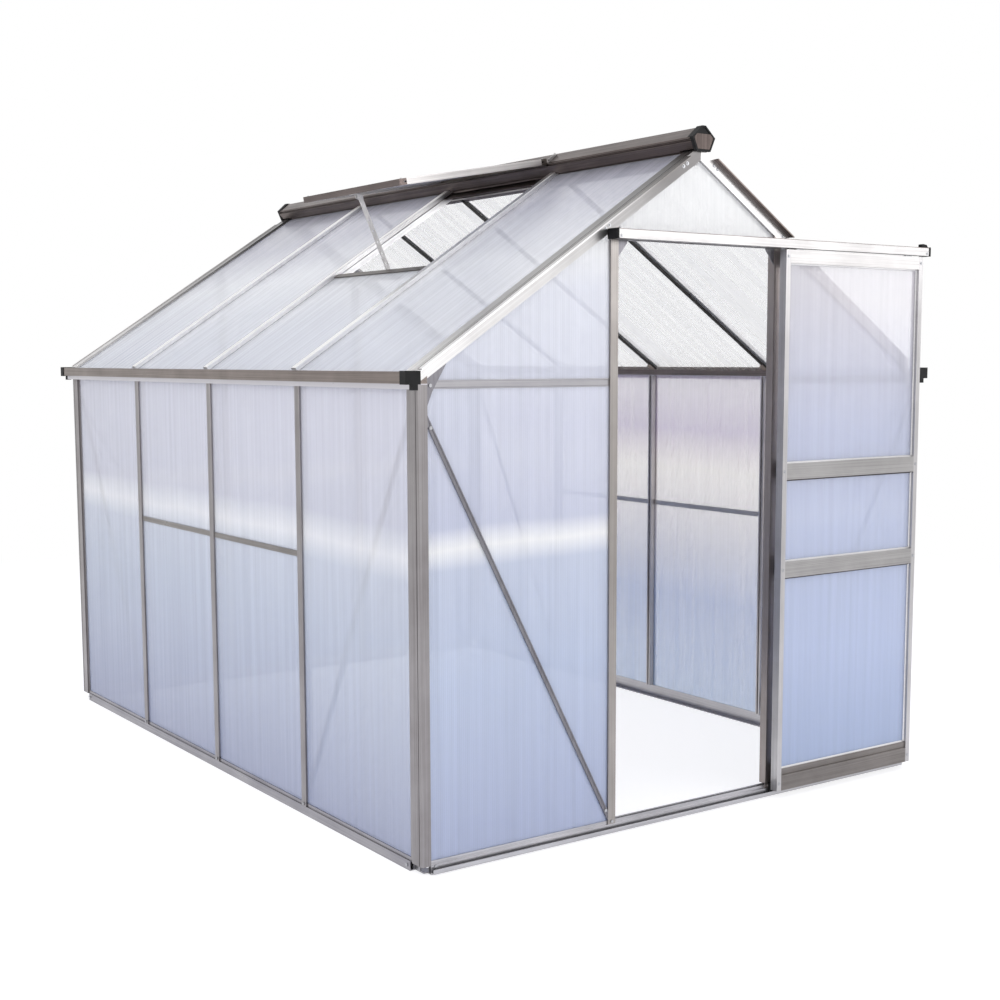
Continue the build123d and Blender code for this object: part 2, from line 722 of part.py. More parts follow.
# Door hangers with their axles, rollers inside the track, and shoes behind the guide lip.
roller_z = ledge_top + roller_radius + running_gap
roller_back = front - track_back - roller_room
roller_front = roller_back - roller_width
plate_y = (roller_front - skin - hanger_thick, roller_front - skin)
hanger_xs = (door_left + hanger_inset, door_right - hanger_inset)
hangers = []
for x in hanger_xs:
    hanger_x = (x - hanger_width / 2, x + hanger_width / 2)
    hanger = box(hanger_x, (plate_y[0] - hanger_thick, leaf_back - hanger_over), (door_top, door_top + skin))
    hanger += box(hanger_x, plate_y, (door_top, roller_z + hanger_over))
    hanger += cylinder_y(x, roller_z, axle_radius, plate_y[0], roller_back + edge_gap)
    hangers.append(hanger)
node("door_hangers", *hangers)
for name, x in zip(("left", "right"), hanger_xs):
    wheel = cylinder_y(x, roller_z, roller_radius, roller_front, roller_back)
    wheel -= cylinder_y(x, roller_z, axle_radius + axle_play, roller_front - edge_gap, roller_back + edge_gap)
    node(f"door_{name}_roller", wheel)
shoe_back = front - shoe_gap
shoes = []
for x in (door_left + shoe_inset, door_right - shoe_inset - shoe_width):
    shoe = box((x, x + shoe_width), (leaf_back, shoe_back), (door_low - set_back, door_low + shoe_width))
    shoe += box((x, x + shoe_width), (front - guide_reach + set_back, shoe_back), (shoe_low, door_low))
    shoes.append(shoe)
node("door_guide_shoes", *shoes)

# Vent sill: the cross bar under the lower edge of the vent, with a channel for the short sheet.
sill_y = (bar_ys[0], bar_ys[1])
sill_end = sill_top + sill_width
sill = across_slope([(sill_top, channel_in), (sill_end, channel_in), (sill_end, bar_depth),
                     (sill_top, bar_depth)], sill_y[0] + body_width / 2, sill_y[1] - body_width / 2)
sill += across_slope([(sill_top, sill_in), (sill_end, sill_in), (sill_end, cap_depth),
                      (sill_channel, cap_depth), (sill_channel, channel_in), (sill_top, channel_in)],
                     sill_y[0] + cap_width / 2, sill_y[1] - cap_width / 2)
node("vent_sill_bar", sill)

# Stay peg: a cross pin held between two lugs on the ridge side of the sill.
vent_y = (sill_y[0] + sill_y[1]) / 2
peg_slope = sill_top - peg_before_sill
peg_x, peg_z = slope(peg_slope, peg_depth)
peg = cylinder_y(peg_x, peg_z, peg_radius, vent_y - peg_reach, vent_y + peg_reach)
lug_top = peg_slope - lug_margin
for side in (-1, 1):
    lug = sorted((vent_y + side * (peg_reach - lug_thick), vent_y + side * peg_reach))
    peg += across_slope([(lug_top, peg_depth - 2 * peg_radius), (sill_top, peg_depth - 2 * peg_radius),
                         (sill_top, bar_depth - edge_gap), (lug_top, bar_depth - edge_gap)], *lug)
node("vent_stay_peg", peg)

# Roof vent: a sash of four channel bars round one sheet, hung by a bead in the ridge groove.
tilt = radians(vent_tilt)


def sash_point(out, depth):
    """Point (x, z) on the open vent: out from the hinge axis along the sash, and down square to it."""
    return (hinge_x - out * cos(tilt) + depth * sin(tilt), hinge_z - out * sin(tilt) - depth * cos(tilt))


def across_sash(points, start, end):
    return along_y([sash_point(*point) for point in points], start, end)


def down_sash(points, start, end):
    """Bar down the sash: points are (y, depth)."""
    x, z = sash_point(start, 0)
    return prism(Plane((x, 0, z), x_dir=(0, 1, 0), z_dir=(-cos(tilt), 0, -sin(tilt))), points, end - start)


low_face = -sash_lift
high_face = low_face - sash_depth
sash_near = low_face - (sash_depth - channel) / 2
sash_far = sash_near - channel
sash_y = (sill_y[0] + sash_side_gap, sill_y[1] - sash_side_gap)
neck_y = (sill_y[0] + cap_width / 2 + edge_gap, sill_y[1] - cap_width / 2 - edge_gap)


def channel_bar(outer, inner):
    """Section of a sash bar whose channel faces inwards: points (along, depth)."""
    deep = inner - bite if inner > outer else inner + bite
    return [(outer, low_face), (inner, low_face), (inner, sash_near), (deep, sash_near), (deep, sash_far),
            (inner, sash_far), (inner, high_face), (outer, high_face)]


sash_in = sash_top + sash_head
sash_out = sash_end - sash_rail
neck_end = sash_top + neck_bite
hinge_rail = across_sash(channel_bar(sash_top, sash_in), *sash_y)
hinge_rail += across_sash([(0, neck_half), (0, -neck_half), (neck_end, -neck_half - neck_rise),
                           (neck_end, neck_half - neck_rise)], *neck_y)
hinge_rail += cylinder_y(hinge_x, hinge_z, bead_radius, *neck_y)
node("vent_hinge_rail", hinge_rail)
near_stile = down_sash(channel_bar(sash_y[0], sash_y[0] + sash_stile), sash_in, sash_out)
far_stile = down_sash(channel_bar(sash_y[1], sash_y[1] - sash_stile), sash_in, sash_out)
node("vent_stiles", near_stile, far_stile)
node("vent_bottom_rail", across_sash(channel_bar(sash_end, sash_out), *sash_y))
sash_sheet_y = (sash_y[0] + sash_stile - tuck, sash_y[1] - sash_stile + tuck)
sheet_face = sash_near - sheet_play
sash_sheet = down_sash([(sash_sheet_y[0], sheet_face), (sash_sheet_y[1], sheet_face),
                        (sash_sheet_y[1], sheet_face - sheet), (sash_sheet_y[0], sheet_face - sheet)],
                       sash_in - tuck, sash_out + tuck)
node("vent_sheet", sash_sheet)

# Stay bracket under the vent's bottom rail: a base plate, two cheeks and the pivot pin.
pin_x, pin_z = sash_point(stay_pivot, stay_pivot_depth)
cheek_in = stay_thick / 2 + stay_side_gap
cheek_out = cheek_in + cheek_thick
base_in = sash_out + edge_gap
stay_bracket = across_sash([(base_in, low_face), (base_in + stay_base, low_face),
                            (base_in + stay_base, low_face + skin), (base_in, low_face + skin)],
                           vent_y - stay_plate / 2, vent_y + stay_plate / 2)
for side in (-1, 1):
    cheek = sorted((vent_y + side * cheek_in, vent_y + side * cheek_out))
    stay_bracket += across_sash([(stay_pivot - cheek_back, stay_pivot_depth - cheek_round),
                                 (base_in, low_face), (base_in + skin, low_face),
                                 (base_in + skin, stay_pivot_depth + skin),
                                 (stay_pivot + lug_margin, stay_pivot_depth + cheek_round),
                                 (stay_pivot - cheek_back, stay_pivot_depth + cheek_round)], *cheek)
stay_bracket += cylinder_y(pin_x, pin_z, stay_pin, vent_y - cheek_out, vent_y + cheek_out)
node("vent_stay_bracket", stay_bracket)

# Vent stay: a flat bar from the bracket's pin down to the peg, with the row of holes that set the opening.
reach = stay_width / 2 + peg_radius + peg_gap
stay_x = peg_x + reach * sin(radians(peg_side))
stay_z = peg_z + reach * cos(radians(peg_side))
stay_length = hypot(stay_x - pin_x, stay_z - pin_z)
stay_face = Pos(stay_length / 2, 0) * Rectangle(stay_length, stay_width)
stay_face += Circle(stay_width / 2)
stay_face += Pos(stay_length, 0) * Circle(stay_width / 2)
stay_face -= Circle(stay_pin + hinge_play)
for share in (0.3, 0.45, 0.6, 0.75, 0.9):
    stay_face -= Pos(stay_length * share, 0) * Circle(peg_radius + peg_gap)
stay_plane = Plane((pin_x, vent_y + stay_thick / 2, pin_z), x_dir=(stay_x - pin_x, 0, stay_z - pin_z),
                   z_dir=(0, -1, 0))
node("vent_stay", extrude(stay_plane * stay_face, stay_thick, dir=(0, -1, 0)))


# Bolt heads at the feet of the studs and posts and at the ends of the braces.
def bolt(point, axis):
    return extrude(Plane(point, z_dir=axis) * RegularPolygon(bolt_radius, 6), bolt_head, dir=axis)


tab_z = (rail_step + rail_height) / 2
brace_slant = (brace_top - brace_foot) / (post_out - seat_x)
side_bolts = [bolt((left, y, tab_z), (-1, 0, 0)) for y in bar_ys]
rail_bolt_y = front + corner_end + cap_width / 2
side_bolts += [bolt((left, y, rail_step / 2), (-1, 0, 0)) for y in (rail_bolt_y, -rail_bolt_y)]
gable_bolts = [bolt((seat_x + cap_width / 2, front, rail_step - bolt_radius), (0, -1, 0))]
gable_bolts += [bolt((seat_x + bolt_inset, brace_y[0], brace_top - bolt_inset * brace_slant), (0, -1, 0))]
gable_bolts += [bolt((seat_x + bolt_inset, brace_y[0], under_rafter - gusset_side / 4), (0, -1, 0))]
bolts = side_bolts + gable_bolts + [other_end(part) for part in gable_bolts]
bolts += [bolt((post_out - bolt_inset, brace_y[0], brace_foot + bolt_inset * brace_slant), (0, -1, 0))]
bolts += [bolt((-door_post_x, front, tab_z), (0, -1, 0))]
bolts += [bolt((-rear_stud_x, -front, tab_z), (0, 1, 0))]
node("frame_bolts", *bolts, *[other_side(part) for part in bolts])
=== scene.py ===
import json
import math

import bmesh
import bpy
from mathutils import Matrix, Vector


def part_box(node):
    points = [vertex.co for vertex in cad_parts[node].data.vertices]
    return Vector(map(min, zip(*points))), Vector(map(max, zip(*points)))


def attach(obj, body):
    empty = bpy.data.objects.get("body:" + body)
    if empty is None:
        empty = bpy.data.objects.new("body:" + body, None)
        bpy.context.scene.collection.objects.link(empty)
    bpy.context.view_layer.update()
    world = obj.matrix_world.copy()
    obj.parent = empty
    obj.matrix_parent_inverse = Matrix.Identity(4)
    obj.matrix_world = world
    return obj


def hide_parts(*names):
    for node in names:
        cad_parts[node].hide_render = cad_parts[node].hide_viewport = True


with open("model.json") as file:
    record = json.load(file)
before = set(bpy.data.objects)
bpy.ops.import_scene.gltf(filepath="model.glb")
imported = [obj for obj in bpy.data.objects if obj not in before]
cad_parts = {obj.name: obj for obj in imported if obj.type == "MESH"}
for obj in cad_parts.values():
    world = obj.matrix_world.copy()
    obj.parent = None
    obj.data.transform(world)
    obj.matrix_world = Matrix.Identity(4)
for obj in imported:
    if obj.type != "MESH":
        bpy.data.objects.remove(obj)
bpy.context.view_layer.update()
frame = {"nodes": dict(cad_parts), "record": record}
nodes = frame["nodes"]

# Base rails: four drawn aluminium bars that lie on the ground and hold the lower edge of every sheet.
# They are used as they leave the press, so each face has faint lines along the bar and cloudy oxide.
die_line = 0.003
die_run = 0.5
cloud_size = 0.16


def linear(colour):
    """sRGB hex to linear RGBA."""
    parts = [int(colour[i:i + 2], 16) / 255 for i in (1, 3, 5)]
    return [c / 12.92 if c <= 0.04045 else ((c + 0.055) / 1.055) ** 2.4 for c in parts] + [1.0]


def add(tree, kind, inputs=None, **settings):
    """One node with its settings, and with a value or a link for each named input."""
    made = tree.nodes.new(kind)
    for name, value in settings.items():
        setattr(made, name, value)
    for name, value in (inputs or {}).items():
        if isinstance(value, bpy.types.NodeSocket):
            tree.links.new(value, made.inputs[name])
        else:
            made.inputs[name].default_value = value
    return made


def new_material(name):
    material = bpy.data.materials.new(name)
    material.use_nodes = True
    return material, material.node_tree, material.node_tree.nodes["Principled BSDF"]


def link_surface(tree, shader, tone, gloss, bump):
    """Links a material's tone, roughness and bump to its shader."""
    tree.links.new(tone, shader.inputs["Base Color"])
    tree.links.new(gloss, shader.inputs["Roughness"])
    tree.links.new(bump, shader.inputs["Normal"])


def mill_aluminium(name, lines, turn=0.0, dark="#84817f", light="#a8a5a3"):
    """Aluminium as drawn: a soft grey metal whose die lines, drawn wide enough to show, run along the bar.

    Lines is the length of a die line along X, Y and Z, and turn leans them about Y. Dark and light are a
    bar's own tones: the metal is the same, but the photograph shows each bar in a different light."""
    material, tree, shader = new_material(f"mill_aluminium_{name}")
    place = add(tree, "ShaderNodeTexCoord").outputs["Object"]
    along = add(tree, "ShaderNodeMapping", {"Vector": place, "Rotation": (0, turn, 0), "Scale": lines},
                vector_type="TEXTURE").outputs["Vector"]
    streaks = add(tree, "ShaderNodeTexNoise", {"Vector": along, "Scale": 1.0, "Detail": 3.0}).outputs["Fac"]
    clouds = add(tree, "ShaderNodeTexNoise", {"Vector": place, "Scale": 1 / cloud_size, "Detail": 4.0,
                                              "Roughness": 0.6}).outputs["Fac"]
    blend = add(tree, "ShaderNodeMix", {0: 0.45, 2: streaks, 3: clouds}).outputs[0]
    tone = add(tree, "ShaderNodeValToRGB", {"Fac": blend})
    tone.color_ramp.elements[0].position = 0.32
    tone.color_ramp.elements[0].color = linear(dark)
    tone.color_ramp.elements[1].position = 0.68
    tone.color_ramp.elements[1].color = linear(light)
    gloss = add(tree, "ShaderNodeMapRange", {"Value": blend, "From Min": 0.3, "From Max": 0.7, "To Min": 0.4,
                                             "To Max": 0.26})
    bump = add(tree, "ShaderNodeBump", {"Height": streaks, "Strength": 0.12, "Distance": 0.0006})
    link_surface(tree, shader, tone.outputs["Color"], gloss.outputs["Result"], bump.outputs["Normal"])
    shader.inputs["Metallic"].default_value = 0.9
    return material


def dress(material, *names):
    for name in names:
        nodes[name].data.materials.clear()
        nodes[name].data.materials.append(material)


along_x = (die_run, die_line, die_line)
along_y = (die_line, die_run, die_line)
along_z = (die_line, die_line, die_run)
bar_along_x = mill_aluminium("along_x", along_x, dark="#8a898f", light="#aba9ac")
bar_along_y = mill_aluminium("along_y", along_y, dark="#85838a", light="#a5a3a6")
# The front, rear and right base rails take paler copies of the metal: painted light.
pale_along_x = mill_aluminium("pale_along_x", along_x, dark="#a3a2a6", light="#c4c3c6")
dress(pale_along_x, "front_base_rail", "rear_base_rail")
pale_along_y = mill_aluminium("pale_along_y", along_y, dark="#aba8aa", light="#c9c7c8")
dress(bar_along_y, "left_base_rail")
dress(pale_along_y, "right_base_rail")

# Base corner brackets: pressed aluminium angles that join two base rails and a corner post.
# They are cut from rolled sheet, so their grain runs across the frame.
dress(bar_along_x, "base_corner_brackets")

# Corner posts, wall studs and rear studs: upright drawn bars with channels for the sheets.
# They stand on the base rails and are bolted there, with their die lines running up the bar.
bar_along_z = mill_aluminium("along_z", along_z, dark="#7c7778", light="#9d9a9b")
# The right wall's studs and the rear gable studs take a paler copy of the metal: painted light on bars in
# shade.
pale_along_z = mill_aluminium("pale_along_z", along_z, dark="#aaa6a6", light="#c8c5c5")
dress(bar_along_z, "front_left_corner_post", "front_right_corner_post", "rear_left_corner_post",
      "rear_right_corner_post", "left_wall_studs")
dress(pale_along_z, "right_wall_studs", "rear_gable_studs")

# Wall mid rails and gable ties: light drawn bars across the walls at waist height and at the eaves.
# The mid rails clip two sheets together, the ties hold the gable posts apart, and a ribbed drawn strip
# outside the sheet covers each tie.
strip_over = 0.0015
strip_gap = 0.0005
strip_thin, strip_thick = 0.0011, 0.0020
rib_high, rib_slope = 0.003, 0.001
mid_rail = mill_aluminium("wall_mid_rails", along_y, dark="#716d6b", light="#8f8b89")
dress(mid_rail, "left_wall_mid_rails")
# The right wall's mid rails take the paler copy too: painted light on bars in shade.
dress(pale_along_y, "right_wall_mid_rails")
dress(bar_along_x, "gable_ties")


def plain_mesh(name, points, faces, material, body, slot):
    """A new piece from points in the frame, riding on a body."""
    mesh = bpy.data.meshes.new(name)
    mesh.from_pydata(points, [], faces)
    mesh.materials.append(material)
    mesh.validate()
    shape = bmesh.new()
    shape.from_mesh(mesh)
    bmesh.ops.recalc_face_normals(shape, faces=shape.faces)
    shape.to_mesh(mesh)
    shape.free()
    piece = bpy.data.objects.new(name, mesh)
    bpy.context.scene.collection.objects.link(piece)
    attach(piece, body)
    return piece


def prism_faces(count):
    """Faces of a prism with so many points round each end."""
    faces = [tuple(range(count)), tuple(reversed(range(count, 2 * count)))]
    return faces + [(i, i + count, (i + 1) % count + count, (i + 1) % count) for i in range(count)]


def slab(outline, axis, start, end):
    """Closed prism: outline points in the plane across an axis, extruded from start to end."""
    def place(point, depth):
        spot = list(point)
        spot.insert(axis, depth)
        return spot
    points = [place(p, start) for p in outline] + [place(p, end) for p in outline]
    return points, prism_faces(len(outline))


gable_sheet_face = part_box("rear_gable_sheets")[1].y
tie_low, tie_high = (corner.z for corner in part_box("gable_ties"))
low, high = tie_low - strip_over, tie_high + strip_over
tie_strip = [(0.0, low), (strip_thick, low), (strip_thick, low + rib_high),
             (strip_thin, low + rib_high + rib_slope), (strip_thin, high - rib_high - rib_slope),
             (strip_thick, high - rib_high), (strip_thick, high), (0.0, high)]
wall_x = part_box("front_right_corner_post")[0].x - strip_gap
doorway_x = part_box("right_door_post")[1].x + strip_gap
for name, end, start_x, end_x in (("front_left", -1, -wall_x, -doorway_x),
                                  ("front_right", -1, doorway_x, wall_x),
                                  ("rear", 1, -wall_x, wall_x)):
    outline = [(end * (gable_sheet_face + y), z) for y, z in tie_strip]
    strip = slab(outline, 0, start_x, end_x)
    plain_mesh(f"{name}_tie_strip", *strip, bar_along_x, "frame", "mill_aluminium")

# Gutters: drawn aluminium troughs along the eaves, bolted on top of the posts and studs.
# The drip edge below the trough is painted lighter as painted light, and the moulded black polypropylene
# caps push over the ends.
grain_size = 0.0015
wear_size = 0.04
drip_deep = 0.0135
drip_blend = 0.001


def tone_by_height(material, start, stop, tone):
    """Takes a bar's drawn tone over to another tone, from one height to the other."""
    tree = material.node_tree
    base = tree.nodes["Principled BSDF"].inputs["Base Color"]
    place = add(tree, "ShaderNodeTexCoord").outputs["Object"]
    height = add(tree, "ShaderNodeSeparateXYZ", {"Vector": place}).outputs["Z"]
    share = add(tree, "ShaderNodeMapRange", {"Value": height, "From Min": start,
                                             "From Max": stop}).outputs["Result"]
    drawn = base.links[0].from_socket
    mixed = add(tree, "ShaderNodeMix", {0: share, 6: drawn, 7: linear(tone)}, data_type="RGBA").outputs[2]
    tree.links.new(mixed, base)


gutter_bar = mill_aluminium("gutters", along_y, dark="#6b625e", light="#8d837e")
drip_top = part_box("left_gutter")[0].z + drip_deep
# Painted light: the drip edge is painted paler than the trough.
tone_by_height(gutter_bar, drip_top + drip_blend, drip_top - drip_blend, "#c6c4ca")
dress(gutter_bar, "left_gutter", "right_gutter")


def black_polypropylene():
    """Moulded black plastic: dull, with a fine spark-eroded grain that is drawn coarser to show."""
    material, tree, shader = new_material("black_polypropylene")
    place = add(tree, "ShaderNodeTexCoord").outputs["Object"]
    grain = add(tree, "ShaderNodeTexNoise", {"Vector": place, "Scale": 1 / grain_size,
                                             "Detail": 2.0}).outputs["Fac"]
    wear = add(tree, "ShaderNodeTexNoise", {"Vector": place, "Scale": 1 / wear_size,
                                            "Detail": 3.0}).outputs["Fac"]
    tone = add(tree, "ShaderNodeValToRGB", {"Fac": wear})
    tone.color_ramp.elements[0].position = 0.35
    tone.color_ramp.elements[0].color = linear("#0b0b0c")
    tone.color_ramp.elements[1].position = 0.7
    tone.color_ramp.elements[1].color = linear("#1b1a1c")
    gloss = add(tree, "ShaderNodeMapRange", {"Value": grain, "To Min": 0.5, "To Max": 0.7})
    bump = add(tree, "ShaderNodeBump", {"Height": grain, "Strength": 0.25, "Distance": 0.0004})
    link_surface(tree, shader, tone.outputs["Color"], gloss.outputs["Result"], bump.outputs["Normal"])
    shader.inputs["Specular IOR Level"].default_value = 0.25
    return material


moulded_black = black_polypropylene()
dress(moulded_black, "gutter_end_caps")

# Ridge bar and its end caps: the hollow drawn bar that joins the slopes, with a hinge groove each side.
# The caps are black mouldings, and a thin aluminium plate closes the set-in front of each.
shield_half = [(0.027, 0.0225), (0.0345, 0.0338), (0.0212, 0.0638)]
shield_back, shield_front = 0.0022, 0.0004
# The ridge bar's dark brown tone is a painted dark reflection.
ridge_bar = mill_aluminium("ridge", along_y, dark="#4d4543", light="#726764")
dress(ridge_bar, "ridge_bar")
dress(moulded_black, "ridge_end_caps")
# The shields are painted darker still, as painted shade in the set-in fronts.
shield_plate = mill_aluminium("ridge_shields", along_z, dark="#3a3331", light="#574e4b")
cap_top, cap_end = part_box("ridge_end_caps")[1].z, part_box("ridge_end_caps")[1].y
right_half = [(x, cap_top - depth) for x, depth in shield_half]
left_half = [(-x, z) for x, z in right_half]
shield = left_half[:1] + right_half + left_half[:0:-1]
for name, end in (("front", -1), ("rear", 1)):
    plate = slab(shield, 1, end * (cap_end - shield_back), end * (cap_end - shield_front))
    plain_mesh(f"{name}_ridge_shield", *plate, shield_plate, "frame", "mill_aluminium")

# Roof bars and gable rafters: drawn bars down each slope, from the ridge to the gutter.
# The roof bars' caps have a rib, and the rafters close the ends of the roof. The left bars, rafters and
# lips carry a painted reflection: bright, and on the rafters and lips painted darker upwards.
roof_pitch = math.radians(33.5)
roof_peak = 1.905
lip_section = [(0.0, 0.0), (0.0170, 0.0), (0.0180, 0.0008), (0.0180, 0.0044), (0.0165, 0.0044),
               (0.0165, 0.0026), (0.0, 0.0026)]
lip_shadow_section = [(-0.0010, -0.0003), (0.0014, -0.0003), (0.0014, 0.0010), (-0.0010, 0.0010)]
lip_start, lip_stop, lip_stop_at_track = 0.062, 1.108, 0.425
rafter_reflection_fade = (1.3, 1.8)
lip_reflection_fade = (1.5, 1.8)
bright_down_left = mill_aluminium("bright_down_left", along_x, -roof_pitch, "#dcdadb", "#fafafa")
bar_down_left = mill_aluminium("down_left_slope", along_x, -roof_pitch, "#c6c4c4", "#e6e5e5")
# Painted reflection: the rafters are painted darker upwards.
tone_by_height(bar_down_left, *rafter_reflection_fade, "#696767")
bar_down_right = mill_aluminium("down_right_slope", along_x, roof_pitch, "#b0aeae", "#cfcdcd")
# Painted shade for the right bars' heads, near black.
shaded_down_right = mill_aluminium("painted_shade_down_right", along_x, roof_pitch, "#232222", "#3a3836")
lip_down_right = mill_aluminium("lip_down_right", along_x, roof_pitch, "#5a504d", "#786d69")
lip_down_left = mill_aluminium("lip_down_left", along_x, -roof_pitch, "#dcdadb", "#fafafa")
tone_by_height(lip_down_left, *lip_reflection_fade, "#6e6b6a")
dress(bright_down_left, "left_roof_bars")
dress(bar_down_left, "front_left_gable_rafter", "rear_left_gable_rafter")
dress(bar_down_right, "front_right_gable_rafter", "rear_right_gable_rafter")


def on_slope(side, along, y, depth):
    """A point on the left (-1) or right (1) slope: so far from the peak, so deep below the outer plane."""
    run, fall = math.cos(roof_pitch), math.sin(roof_pitch)
    return side * (along * run - depth * fall), y, roof_peak - along * fall - depth * run


def down_slope(section, side, start, end):
    """Prism down a slope: section points are (y, depth below the roof's outer plane)."""
    points = [on_slope(side, along, y, depth) for along in (start, end) for y, depth in section]
    return points, prism_faces(len(section))


gable_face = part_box("rear_left_gable_rafter")[1].y
# The right lips are painted dark as painted shade under them, and the left lips take the painted reflection.
for name, side, end, stop, metal in (("front_left", -1, -1, lip_stop, lip_down_left),
                                     ("front_right", 1, -1, lip_stop_at_track, lip_down_right),
                                     ("rear_left", -1, 1, lip_stop, lip_down_left),
                                     ("rear_right", 1, 1, lip_stop, lip_down_right)):
    lip = down_slope([(end * (gable_face + y), depth) for y, depth in lip_section], side, lip_start, stop)
    plain_mesh(f"{name}_rafter_lip", *lip, metal, "frame", "mill_aluminium")
    # A dark strip along each lip is a painted shadow line where lip and rafter meet.
    lip_shadow = down_slope([(end * (gable_face + y), depth) for y, depth in lip_shadow_section], side, lip_start, stop)
    plain_mesh(f"{name}_rafter_lip_shadow", *lip_shadow, lip_down_right, "frame", "mill_aluminium")

# Right roof bars: drawn bars like those of the left slope, each a bright ribbed cap over a web and a slim
# inner head with a bolt slot, painted near black as painted shade. A drawn foot under the head sits on the
# gutter's sloped seat.
bay_wide = 0.61
bar_span = (0.040, 1.116)
foot_span = (1.076, 1.116)
cap_half = [(0.0128, -0.006), (0.014, -0.0048), (0.014, 0.006), (0.012, 0.006), (0.012, 0.002)]
head_half = [(0.0025, 0.002), (0.0025, 0.0106), (0.0045, 0.0106), (0.0045, 0.0170), (0.0016, 0.0170),
             (0.0016, 0.0156), (0.0032, 0.0156), (0.0032, 0.0128)]
foot_half = [(0.0045, 0.0170), (0.0045, 0.0286)]


def joined(prisms):
    """Points and faces of several prisms as those of one mesh."""
    points, faces = [], []
    for spots, sides in prisms:
        faces += [tuple(i + len(points) for i in side) for side in sides]
        points += spots
    return points, faces


def row_of_bars(half, start, stop):
    """The same half section on each right roof bar, mirrored and run down the slope."""
    bars = []
    for y in (-bay_wide, 0.0, bay_wide):
        section = [(y + u, depth) for u, depth in half] + [(y - u, depth) for u, depth in reversed(half)]
        bars.append(down_slope(section, 1, start, stop))
    return joined(bars)


heads = row_of_bars(head_half, *bar_span)
slim_bars = plain_mesh("right_roof_bar_heads", *heads, shaded_down_right, "frame", "mill_aluminium")
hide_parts("right_roof_bars")
caps = row_of_bars(cap_half, *bar_span)
plain_mesh("right_roof_bar_caps", *caps, bar_down_right, "frame", "mill_aluminium")
feet = row_of_bars(foot_half, *foot_span)
plain_mesh("right_roof_bar_feet", *feet, gutter_bar, "frame", "mill_aluminium")

# Braces and gusset plates: flat aluminium strip and pressed corner plates, bolted across the bays.
# They are cut from rolled strip and sheet, with a grain that is shorter than the drawn bars' lines.
rolled_run = 0.05
rolled_grain = (die_line, die_line, rolled_run)
strip_along = mill_aluminium("rolled_strip", rolled_grain, dark="#6c6a70", light="#89878c")
dress(strip_along, "side_wall_braces", "eave_gusset_plates", "door_header_gussets")

# Gable braces: narrow rolled strips across the gable bays, with a folded edge along the upper side.
# Each follows the middle of its solid, from the corner post down to the foot of the next upright.
brace_share = 0.64
fold_share = 0.4
fold_thick = 0.0012
near_end = 1e-4
solids = nodes["gable_braces"]
corners = [solids.matrix_world @ v.co for v in solids.data.vertices]
prisms = []
for end in (-1, 1):
    for side in (-1, 1):
        own = [c for c in corners if c.x * side > 0 and c.y * end > 0]
        ends = []
        for x in (min(c.x for c in own), max(c.x for c in own)):
            heights = [c.z for c in own if abs(c.x - x) < near_end]
            half = brace_share * (max(heights) - min(heights)) / 2
            ends.append((x, (min(heights) + max(heights)) / 2, half))
        depths = [c.y * end for c in own]
        back, face = min(depths), max(depths)
        strip = [(x, z - half) for x, z, half in ends] + [(x, z + half) for x, z, half in reversed(ends)]
        fold = [(x, z + fold_share * half) for x, z, half in ends]
        fold += [(x, z + half) for x, z, half in reversed(ends)]
        prisms.append(slab(strip, 1, end * back, end * face))
        prisms.append(slab(fold, 1, end * face, end * (face + fold_thick)))
slim_braces = plain_mesh("slim_gable_braces", *joined(prisms), strip_along, "frame", "mill_aluminium")
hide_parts("gable_braces")

# Door posts, header and track: the doorway's upright bars, the bar across their heads, and the channel
# that the door hangs from. The track is a drawn channel with black moulded end caps, and a black stop
# clipped on its open end.
edge_heights = ((1.6352, 1.6363), (1.6589, 1.6602))
edge_y = (-1.3097, -1.3108)
edge_x = (-0.324, 0.916)
stop_outline = [(0.888, 1.6598), (0.888, 1.6695), (0.893, 1.6712), (0.910, 1.6692), (0.917, 1.6598)]
stop_y = (-1.3065, -1.2920)
# The posts take their own lightened copies of the metal, as painted light on faces in shade.
door_post_left = mill_aluminium("left_door_post", along_z, dark="#87827f", light="#a6a19e")
door_post_right = mill_aluminium("right_door_post", along_z, dark="#8f8784", light="#ada5a2")
dress(door_post_left, "left_door_post")
dress(door_post_right, "right_door_post")
# The bright copy here and the track's below are painted light.
bright_along_x = mill_aluminium("bright_along_x", along_x, dark="#8f8d8d", light="#b0aeae")
dress(bar_along_x, "door_header")
track_metal = mill_aluminium("door_track", along_x, dark="#a9a7a7", light="#c6c4c4")
dress(track_metal, "door_track")
dress(moulded_black, "door_track_end_caps")
# The upper rolled edge takes the dark lip tone as painted shade, and the lower one the track's painted
# light.
for name, (low, high), metal in zip(("lower", "upper"), edge_heights, (track_metal, lip_down_right)):
    outline = [(edge_y[0], low), (edge_y[1], low), (edge_y[1], high), (edge_y[0], high)]
    edge = slab(outline, 0, *edge_x)
    plain_mesh(f"track_{name}_rolled_edge", *edge, metal, "frame", "mill_aluminium")
plain_mesh("track_end_stop", *slab(stop_outline, 1, *stop_y), moulded_black, "frame", "black_plastic")

# Glazing sheets: clear twin-wall polycarbonate, extruded with a rib every few millimetres between walls.
# The ribs scatter what lies behind, so the sheets look milky, with streaks along the flutes. Their tones
# by height imitate the photograph's light, such as the walls' bright band at waist height.
flute_pitch = 0.006
streak_width = 0.02
streak_run = 1.2
drift_size = 0.625
rib_shade = (0.96, 1.03)
wave_turn = math.pi / 10  # length of one band of a wave at scale 1


